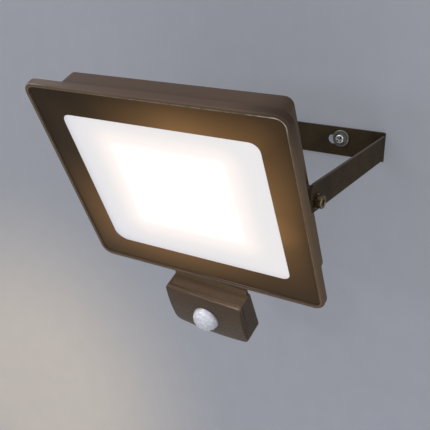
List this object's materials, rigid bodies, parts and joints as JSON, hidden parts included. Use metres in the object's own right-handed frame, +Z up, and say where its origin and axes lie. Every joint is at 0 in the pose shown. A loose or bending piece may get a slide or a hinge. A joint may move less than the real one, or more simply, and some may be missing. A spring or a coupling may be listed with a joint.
{
  "type": "motion sensor security light",
  "caption": "Flat outdoor LED floodlight that tilts in a U-shaped wall bracket, with a swivelling domed motion sensor under its lower edge.",
  "frame": {"origin": "middle of the bracket's back face, on the wall", "axes": "+X to the right seen from the front, +Y into the wall, +Z up; the lamp faces -Y and down"},
  "size_m": [0.242, 0.2395, 0.2579],
  "materials": {
    "bracket_paint": "satin",
    "housing_paint": "satin",
    "border_gloss": "gloss",
    "glass": "clear",
    "rubber": "matte",
    "opal_sheet": "opal",
    "white_plastic": "satin",
    "white_board": "satin",
    "green_board": "satin",
    "aluminium": "milled",
    "black_nylon": "matte",
    "dark_steel": "blackened",
    "sensor_plastic": "satin",
    "lens_plastic": "translucent",
    "knob_plastic": "satin",
    "washer_steel": "dull",
    "zinc_steel": "zinc plated"
  },
  "bodies": {
    "bracket": {"mounting_bracket": "bracket_paint", "wall_screw_left": "zinc_steel", "wall_screw_right": "zinc_steel", "wall_washer_left": "washer_steel", "wall_washer_right": "washer_steel"},
    "head": {"rear_housing": "housing_paint", "window_mask": "border_gloss", "front_glass": "glass", "glass_seal": "rubber", "diffuser_sheet": "opal_sheet", "reflector_tray": "white_plastic", "led_board": "white_board", "heat_spreader": "aluminium", "board_screw_1": "zinc_steel", "board_screw_2": "zinc_steel", "board_screw_3": "zinc_steel", "board_screw_4": "zinc_steel", "driver_board": "green_board", "driver_screw_1": "zinc_steel", "driver_screw_2": "zinc_steel", "driver_screw_3": "zinc_steel", "driver_screw_4": "zinc_steel", "gland_body": "black_nylon", "gland_seal": "rubber", "gland_nut": "black_nylon", "tilt_bolt_left": "dark_steel", "tilt_bolt_right": "dark_steel", "lock_washer_left": "dark_steel", "lock_washer_right": "dark_steel", "arm_spacer_left": "rubber", "arm_spacer_right": "rubber", "neck_seal": "rubber"},
    "neck": {"sensor_neck": "sensor_plastic", "neck_nut": "black_nylon"},
    "sensor": {"sensor_rear_case": "sensor_plastic", "sensor_front_cover": "sensor_plastic", "sensor_case_seal": "rubber", "sensor_lens": "lens_plastic", "sensor_board": "green_board", "pyro_element": "zinc_steel", "sensor_tilt_screw": "zinc_steel", "sensor_tilt_nut": "zinc_steel", "case_screw_1": "zinc_steel", "case_screw_2": "zinc_steel", "case_screw_3": "zinc_steel", "case_screw_4": "zinc_steel"},
    "time_adjuster": {"time_knob": "knob_plastic"},
    "dusk_adjuster": {"dusk_knob": "knob_plastic"},
    "range_adjuster": {"range_knob": "knob_plastic"}
  },
  "joints": [
    {"name": "head_tilt", "type": "hinge", "parent": "bracket", "child": "head", "pos_m": [0, -0.171, -0.003], "axis": [1, 0, 0], "range_deg": [-114, 33.8]},
    {"name": "sensor_pan", "type": "hinge", "parent": "head", "child": "neck", "pos_m": [0, -0.12661, -0.09774], "axis": [0, -0.4415, 0.8973], "range_deg": [-45, 45]},
    {"name": "sensor_tilt", "type": "hinge", "parent": "neck", "child": "sensor", "pos_m": [0, -0.12308, -0.10491], "axis": [0.999, -0.0391, -0.0193], "range_deg": [-15, 25]},
    {"name": "time_turn", "type": "hinge", "parent": "sensor", "child": "time_adjuster", "pos_m": [-0.0227, -0.11728, -0.15188], "axis": [0.0436, 0.8964, 0.4411], "range_deg": [-135, 135]},
    {"name": "dusk_turn", "type": "hinge", "parent": "sensor", "child": "dusk_adjuster", "pos_m": [-0.00072, -0.11814, -0.1523], "axis": [0.0436, 0.8964, 0.4411], "range_deg": [-135, 135]},
    {"name": "range_turn", "type": "hinge", "parent": "sensor", "child": "range_adjuster", "pos_m": [0.02126, -0.119, -0.15272], "axis": [0.0436, 0.8964, 0.4411], "range_deg": [-135, 135]}
  ]
}
